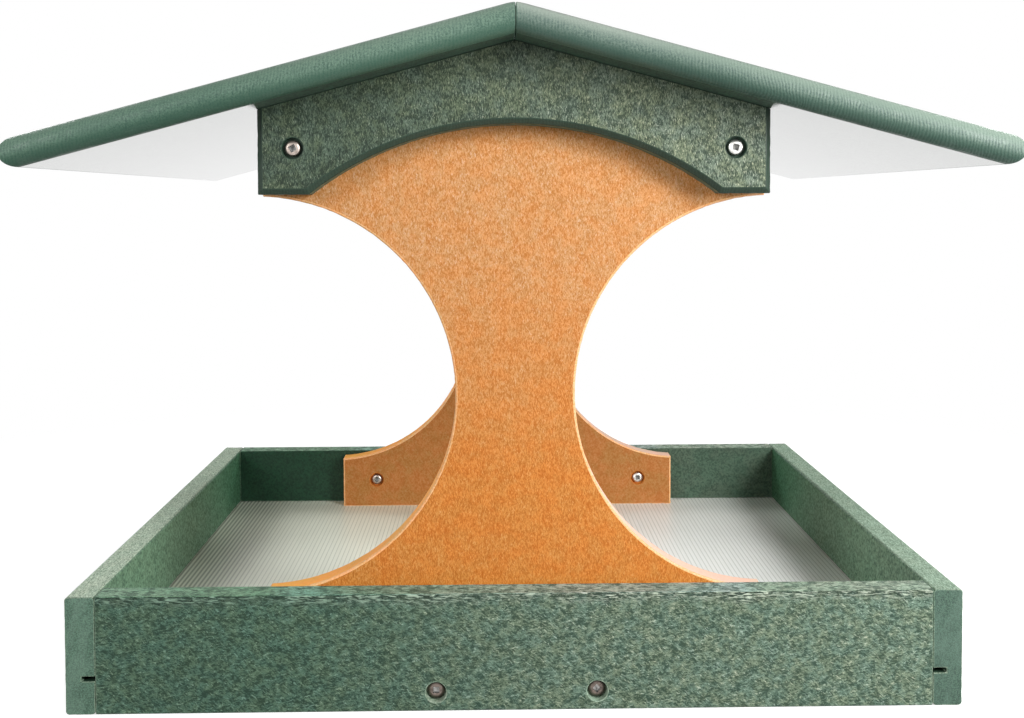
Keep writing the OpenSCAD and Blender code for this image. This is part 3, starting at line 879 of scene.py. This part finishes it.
def finish_piece(name, bm, finish_names, node):
    """Turns a bmesh into a finished piece that replaces a node on the feeder's one body."""
    mesh = bpy.data.meshes.new(name)
    for face in bm.faces:
        face.smooth = True
    for edge in bm.edges:
        edge.smooth = len(edge.link_faces) != 2 or edge.calc_face_angle(0) < CREASE_ANGLE
    bm.to_mesh(mesh)
    bm.free()
    library = finishes()
    for finish_name in finish_names:
        mesh.materials.append(library[finish_name])
    piece = add_object(name, mesh)
    piece.modifiers.new("face weights", "WEIGHTED_NORMAL").keep_sharp = True
    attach(piece, BODY)
    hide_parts(node)


def dress_board(node, finish_names, choose, nibble=True):
    """Rebuilds a board from its solid with broken edges and a finish for each of its sides.

    choose(face) gives the place of a face's finish among finish_names. The last of them is
    for the broken edges, and the one before it for the counterbores."""
    boards = bpy.context.scene.feeder_boards
    bm = merged_copy(node)
    places = screw_axes()
    broken = len(finish_names) - 1
    bored = broken - 1
    for face in bm.faces:
        large = face.calc_area() > LARGE_FACE
        flat = max(abs(value) for value in face.normal) > SQUARE and large
        hidden = not flat and in_bore(face.calc_center_median(), places)
        face.material_index = bored if hidden else choose(face)
    break_edges(bm, boards.arris_w, broken)
    for face in bm.faces:
        if face.material_index == broken and in_bore(face.calc_center_median(), places):
            face.material_index = bored
    if nibble:
        nibble_edges(bm, broken, boards.nibble, boards.nibble_step)
    finish_piece(node + "_dressed", bm, finish_names, node)


def on_top(face, top):
    """Whether a face lies on the top skin of a board whose top has the given height."""
    return face.normal.z > FACING and face.calc_center_median().z > top - SKIN_REACH


class FEEDER_OT_rails(bpy.types.Operator):
    """Dress the four rails of the tray"""

    bl_idname = "feeder.rails"
    bl_label = "Rails"

    def execute(self, context):
        for node, side in (("side_rail_left", -1), ("side_rail_right", 1)):
            def side_rail_finish(face, side=side, top=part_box(node)[1].z):
                if abs(face.normal.y) > FACING:
                    return 1
                # The groove takes the dark counterbore finish, which paints its shade
                if GROOVE_LOW < face.calc_center_median().z < GROOVE_HIGH:
                    return 4
                if on_top(face, top):
                    return 0
                return 2 if face.normal.x * side > LEANING or face.normal.z < -FACING else 3

            dress_board(node, ["green planed along y", "green sawn", "green pressed side",
                               "green inner side", "green bored", "green arris"],
                        side_rail_finish)
        for node, end in (("front_rail", -1), ("rear_rail", 1)):
            def end_rail_finish(face, end=end, top=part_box(node)[1].z):
                if on_top(face, top):
                    return 0
                return 1 if face.normal.y * end > LEANING or face.normal.z < -FACING else 2

            dress_board(node, ["green planed along x", "green pressed", "green inner",
                               "green bored lit", "green arris"],
                        end_rail_finish)
        return {"FINISHED"}


class FEEDER_OT_floor_sheet(bpy.types.Operator):
    """Model the fluted floor sheet with a sink line over each web"""

    bl_idname = "feeder.floor_sheet"
    bl_label = "Floor sheet"

    def execute(self, context):
        sheet = context.scene.feeder_sheet
        low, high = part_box("floor_sheet")
        flutes = 2 * int((high.x - low.x) / 2 / sheet.flute_pitch)
        per_flute = 6
        steps = flutes * per_flute
        bm = bmesh.new()
        bmesh.ops.create_grid(bm, x_segments=steps, y_segments=4, size=0.5)
        for vert in bm.verts:
            step = round((vert.co.x + 0.5) * steps)
            sink = {0: 1.0, 1: 0.25, per_flute - 1: 0.25}.get(step % per_flute, 0.0)
            along = (step / per_flute - flutes / 2) * sheet.flute_pitch
            along = {0: low.x, steps: high.x}.get(step, along)
            vert.co = Vector((along, vert.co.y * (high.y - low.y),
                              high.z - sink * sheet.flute_sag))
        under = bmesh.ops.extrude_face_region(bm, geom=list(bm.faces))
        for vert in verts_of(under["geom"]):
            vert.co.z = low.z + (high.z - vert.co.z)
        bmesh.ops.recalc_face_normals(bm, faces=bm.faces)
        finish_piece("floor_sheet_fluted", bm, ["fluted sheet"],
                     "floor_sheet")
        return {"FINISHED"}


class FEEDER_OT_brace(bpy.types.Operator):
    """Dress the flat brace under the floor sheet"""

    bl_idname = "feeder.brace"
    bl_label = "Brace"

    def execute(self, context):
        def brace_finish(face):
            if abs(face.normal.y) > FACING:
                return 1
            return 0 if abs(face.normal.z) > FACING else 2

        dress_board("bottom_brace", ["green pressed side", "green sawn",
                                     "green planed along y", "green bored", "green arris"],
                    brace_finish)
        return {"FINISHED"}


class FEEDER_OT_post_boards(bpy.types.Operator):
    """Dress the two hourglass post boards"""

    bl_idname = "feeder.post_boards"
    bl_label = "Post boards"

    def execute(self, context):
        for node, end in (("front_post_board", -1), ("rear_post_board", 1)):
            def post_finish(face, end=end):
                outward = face.normal.y * end
                if outward > FACING:
                    return 0
                return 1 if outward < -FACING else 2

            dress_board(node, ["cedar face", "cedar inner", "cedar edge", "cedar bored",
                               "cedar arris"], post_finish)
        return {"FINISHED"}


class FEEDER_OT_gable_fascias(bpy.types.Operator):
    """Dress the two arched gable fascias"""

    bl_idname = "feeder.gable_fascias"
    bl_label = "Gable fascias"

    def execute(self, context):
        for node, end in (("front_gable_fascia", -1), ("rear_gable_fascia", 1)):
            def fascia_finish(face, end=end):
                outward = face.normal.y * end
                if outward > FACING:
                    return 0
                if outward > LEANING:
                    return 1
                return 2 if outward > -FACING else 3

            dress_board(node, ["green gable", "green chamfer", "green routed", "green inner",
                               "green bored", "green chamfer"], fascia_finish)
        return {"FINISHED"}


class FEEDER_OT_roof(bpy.types.Operator):
    """Dress the two roof panels and their routed bullnoses"""

    bl_idname = "feeder.roof"
    bl_label = "Roof panels"

    def execute(self, context):
        for node, side, front in (("roof_panel_left", -1, "green routed"),
                                  ("roof_panel_right", 1, "green routed pale and lit")):
            upward = Vector((side * math.sin(ROOF_PITCH), 0, math.cos(ROOF_PITCH)))
            eaveward = Vector((side * math.cos(ROOF_PITCH), 0, -math.sin(ROOF_PITCH)))

            def roof_finish(face, upward=upward, eaveward=eaveward):
                rise = face.normal.dot(upward)
                if abs(face.normal.y) > LEANING:
                    return 1
                if face.normal.dot(eaveward) > LEANING and rise < ALMOST_SQUARE:
                    return 2
                return 0 if rise > FACING else 3

            dress_board(node, ["green roof skin", front, "green routed eave",
                               "green moulded", "green bored", "green routed eave"],
                        roof_finish, nibble=False)
        return {"FINISHED"}


def spun_head(bm, outline, segments):
    """Spins the outline of a screw round Z, leaves its mouth open, and counts its faces."""
    chain = [bm.verts.new((across, 0.0, up)) for across, up in outline]
    edges = [bm.edges.new(pair) for pair in zip(chain, chain[1:])]
    bmesh.ops.spin(bm, geom=chain + edges, cent=(0, 0, 0), axis=(0, 0, 1), dvec=(0, 0, 0),
                   angle=math.tau, steps=segments, use_merge=True, use_duplicate=False)
    bmesh.ops.remove_doubles(bm, verts=bm.verts, dist=0.00001)
    return len(bm.faces)


def sink_drive(bm, drive_w, depth):
    """Turns the round mouth of a screw into a square recess that narrows to its floor."""
    ring = [edge for edge in bm.edges if edge.is_boundary]
    rim_drop, floor_drop = 0.00012, 0.0004
    for narrow, drop in ((None, rim_drop), (0.94, depth), (0.30, depth + floor_drop)):
        lower = bmesh.ops.extrude_edge_only(bm, edges=ring)["geom"]
        for vert in verts_of(lower):
            reach = max(abs(vert.co.x), abs(vert.co.y)) or 1.0
            gain = narrow or drive_w / 2 / reach
            vert.co.x *= gain
            vert.co.y *= gain
            vert.co.z = HEAD_H - drop
        ring = [edge for edge in edges_of(lower) if edge.is_boundary]
    bmesh.ops.contextual_create(bm, geom=[edge for edge in bm.edges if edge.is_boundary])


def wind_thread(bm, core, crest, start, length, pitch):
    """Winds a ridge with closed ends round the shank, from start downwards."""
    turns = length / pitch
    steps = int(turns * 10)
    ridge = [bm.verts.new((across, 0.0, start - pitch * down))
             for across, down in ((core * 0.96, 0.0), (crest, 0.2), (core * 0.96, 0.4))]
    first = [bm.edges.new((ridge[i], ridge[(i + 1) % 3])) for i in range(3)]
    swept = bmesh.ops.spin(bm, geom=ridge + first, cent=(0, 0, 0), axis=(0, 0, 1),
                           dvec=(0, 0, -turns * pitch / steps), angle=turns * math.tau,
                           steps=steps, use_merge=False, use_duplicate=False)
    bmesh.ops.contextual_create(bm, geom=first)
    bmesh.ops.contextual_create(bm, geom=edges_of(swept["geom_last"]))


def screw_mesh(settings, head_d, length):
    """A bmesh of one pan head screw, its seat at the origin and its shank pointing down."""
    rim, shank = head_d / 2, settings.shank_d / 2
    core, mouth = shank * 0.76, settings.drive_w * 0.78
    neck, tip = 0.0006, 0.005
    thread_start, bare_length = -0.0016, 0.004
    bm = bmesh.new()
    outside = spun_head(bm, [
        (mouth, HEAD_H), (rim * 0.66, HEAD_H * 0.985),
        (rim * 0.82, HEAD_H * 0.90), (rim * 0.93, HEAD_H * 0.74), (rim, HEAD_H * 0.50),
        (rim, HEAD_H * 0.08), (rim * 0.97, 0.0), (shank, 0.0), (core, -neck),
        (core, tip - length), (0.0004, -length), (0.0, -length)], settings.segments)
    sink_drive(bm, settings.drive_w, HEAD_H * 0.7)
    bm.faces.ensure_lookup_table()
    for face in bm.faces[outside + settings.segments:]:
        face.material_index = 1
    wind_thread(bm, core, shank, thread_start, length - bare_length, settings.thread_pitch)
    bmesh.ops.recalc_face_normals(bm, faces=bm.faces)
    return bm


class FEEDER_OT_screws(bpy.types.Operator):
    """Model the pan head screws and seat each one in its counterbore"""

    bl_idname = "feeder.screws"
    bl_label = "Screws"

    def execute(self, context):
        settings = context.scene.feeder_screws
        for order, (node, (seat, outward, length)) in enumerate(screw_axes().items()):
            group, side = node.split("_")[0], node.split("_")[-1]
            small = group in ("gable", "post")
            bm = screw_mesh(settings, settings.small_head_d if small else settings.head_d,
                            length)
            turn = Matrix.Rotation(order * DRIVE_TURN, 4, "Z")
            aim = outward.to_track_quat("Z", "Y").to_matrix().to_4x4()
            bmesh.ops.transform(bm, matrix=Matrix.Translation(seat) @ aim @ turn,
                                verts=bm.verts)
            finish_names = ["screw steel", "screw recess"]
            # The brace screws sit deep: their darker heads and recesses paint the shade of the
            # counterbore
            if group == "brace":
                finish_names = ["screw head deep shade", "screw recess half shade"]
            elif small and side == "left":
                finish_names = ["screw shaded", "screw recess"]
            finish_piece(node + "_threaded", bm, finish_names, node)
        return {"FINISHED"}


class FEEDER_OT_stage(bpy.types.Operator):
    """Set up the floor, the lamps and the camera"""

    bl_idname = "feeder.stage"
    bl_label = "Stage"

    def execute(self, context):
        scene = context.scene
        stage = scene.feeder_stage
        self.lay_floor()
        self.fill_world(scene, stage)
        self.hang_lamps(stage)
        self.place_camera(scene, stage)
        scene.view_settings.view_transform = "Standard"
        return {"FINISHED"}

    @staticmethod
    def seen_by_eye(tree):
        """1 for camera, mirror and glass rays, 0 for the rays that light the object."""
        path = tree.nodes.new("ShaderNodeLightPath").outputs
        either = calc(tree, "MAXIMUM", path["Is Camera Ray"], path["Is Glossy Ray"])
        return calc(tree, "MAXIMUM", either, path["Is Transmission Ray"])

    def lay_floor(self):
        """Adds a floor that shows the object's shadow and fades to white around it."""
        bm = bmesh.new()
        bmesh.ops.create_grid(bm, x_segments=1, y_segments=1, size=4.0)
        bmesh.ops.translate(bm, verts=bm.verts, vec=(0, 0, -0.0003))
        mesh = bpy.data.meshes.new("studio floor")
        bm.to_mesh(mesh)
        bm.free()
        tree, surface, coords = new_material("studio floor")
        color = mix_colors(tree, ramp(tree, grains(tree, coords, 3.0), 0.3, 0.7, 0.0, 0.2),
                           grey(0.80), grey(0.77))
        radius = vector_calc(tree, "LENGTH", {0: coords})["Value"]
        seen = self.seen_by_eye(tree)
        distant = times(tree, seen, ramp(tree, radius, 0.34, 0.80))
        color = mix_colors(tree, seen, grey(0.40), color)
        color = mix_colors(tree, distant, color, grey(0.0))
        tree.links.new(color, surface.inputs["Base Color"])
        surface.inputs["Roughness"].default_value = 0.9
        surface.inputs["Specular IOR Level"].default_value = 0.0
        lift = put(tree, "ShaderNodeMapRange", None,
                   {"Value": distant, "To Min": 0.62, "To Max": 1.0}).outputs["Result"]
        glow = put(tree, "ShaderNodeEmission", None,
                   {"Color": grey(1.0), "Strength": times(tree, seen, lift)})
        both = put(tree, "ShaderNodeAddShader", None,
                   {0: surface.outputs[0], 1: glow.outputs[0]})
        output = next(node for node in tree.nodes if node.type == "OUTPUT_MATERIAL")
        tree.links.new(both.outputs[0], output.inputs["Surface"])
        mesh.materials.append(bpy.data.materials["studio floor"])
        floor = add_object("studio floor", mesh)

    def fill_world(self, scene, stage):
        """Fills the world with white for the eye and with a little even light."""
        world = bpy.data.worlds.new("studio")
        world.use_nodes = True
        tree = world.node_tree
        tree.nodes.clear()
        strength = put(tree, "ShaderNodeMapRange", None,
                       {"Value": self.seen_by_eye(tree), "To Min": stage.ambient,
                        "To Max": 1.0})
        glow = put(tree, "ShaderNodeBackground", None,
                   {"Color": grey(1.0), "Strength": strength.outputs["Result"]})
        put(tree, "ShaderNodeOutputWorld", None, {"Surface": glow.outputs[0]})
        scene.world = world

    def hang_lamps(self, stage):
        """Adds the lamps, each aimed at the middle of the feeder."""
        middle = Vector((0.0, 0.0, 0.2))
        for name, place, size, power in (
                ("key lamp", (0.85, -0.95, 0.85), 0.40, stage.key_power),
                ("near lamp", (0.62, -0.62, 0.42), 0.35, stage.near_power),
                ("fill lamp", (-0.85, -0.95, 0.60), 0.50, stage.fill_power),
                ("back right lamp", (1.0, 0.8, 0.7), 0.40, stage.back_right_power),
                ("back left lamp", (-1.0, 0.8, 0.7), 0.40, stage.back_left_power)):
            lamp = bpy.data.lights.new(name, "AREA")
            lamp.shape = "RECTANGLE"
            lamp.size = lamp.size_y = size
            lamp.energy = power
            holder = add_object(name, lamp)
            holder.location = place
            aim = (middle - Vector(place)).to_track_quat("-Z", "Y")
            holder.rotation_euler = aim.to_euler()

    def place_camera(self, scene, stage):
        """Adds the camera that the photograph was matched to."""
        lens = bpy.data.cameras.new("camera")
        lens.sensor_width = 36.0
        lens.lens = stage.focal_px / IMAGE_W * lens.sensor_width
        lens.shift_y = (stage.horizon_px - IMAGE_H / 2) / IMAGE_W
        lens.clip_start = 0.01
        lens.clip_end = 50.0
        camera = add_object("camera", lens)
        camera.matrix_world = (
            Matrix.Translation(stage.eye)
            @ Matrix.Rotation(-stage.yaw, 4, "Z")
            @ Matrix.Rotation(math.radians(90) - stage.tilt, 4, "X")
            @ Matrix.Rotation(-stage.roll, 4, "Z"))
        scene.camera = camera


OPERATORS = (
    FEEDER_OT_rails, FEEDER_OT_floor_sheet, FEEDER_OT_brace, FEEDER_OT_post_boards,
    FEEDER_OT_gable_fascias, FEEDER_OT_roof, FEEDER_OT_screws, FEEDER_OT_stage,
)
SETTINGS = (
    ("feeder_boards", FeederBoardSettings), ("feeder_sheet", FeederSheetSettings),
    ("feeder_screws", FeederScrewSettings), ("feeder_stage", FeederStageSettings),
)


class FEEDER_PT_panel(bpy.types.Panel):
    """Lists the steps that dress the feeder"""

    bl_idname = "FEEDER_PT_panel"
    bl_label = "Platform Bird Feeder"
    bl_space_type = "VIEW_3D"
    bl_region_type = "UI"
    bl_category = "Feeder"

    def draw(self, context):
        for operator in OPERATORS:
            self.layout.operator(operator.bl_idname)
        for name, kind in SETTINGS:
            box = self.layout.box()
            for label in kind.__annotations__:
                box.prop(getattr(context.scene, name), label)


def register():
    """Adds the settings, the operators and the panel."""
    for name, kind in SETTINGS:
        bpy.utils.register_class(kind)
        setattr(bpy.types.Scene, name, PointerProperty(type=kind))
    for operator in OPERATORS:
        bpy.utils.register_class(operator)
    bpy.utils.register_class(FEEDER_PT_panel)


def unregister():
    """Removes what register added, in reverse."""
    bpy.utils.unregister_class(FEEDER_PT_panel)
    for operator in reversed(OPERATORS):
        bpy.utils.unregister_class(operator)
    for name, kind in reversed(SETTINGS):
        delattr(bpy.types.Scene, name)
        bpy.utils.unregister_class(kind)


def main():
    """Registers the add-on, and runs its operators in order."""
    register()
    for operator in OPERATORS:
        group, name = operator.bl_idname.split(".")
        getattr(getattr(bpy.ops, group), name)()
    bpy.context.view_layer.update()


if __name__ == "__main__":
    main()
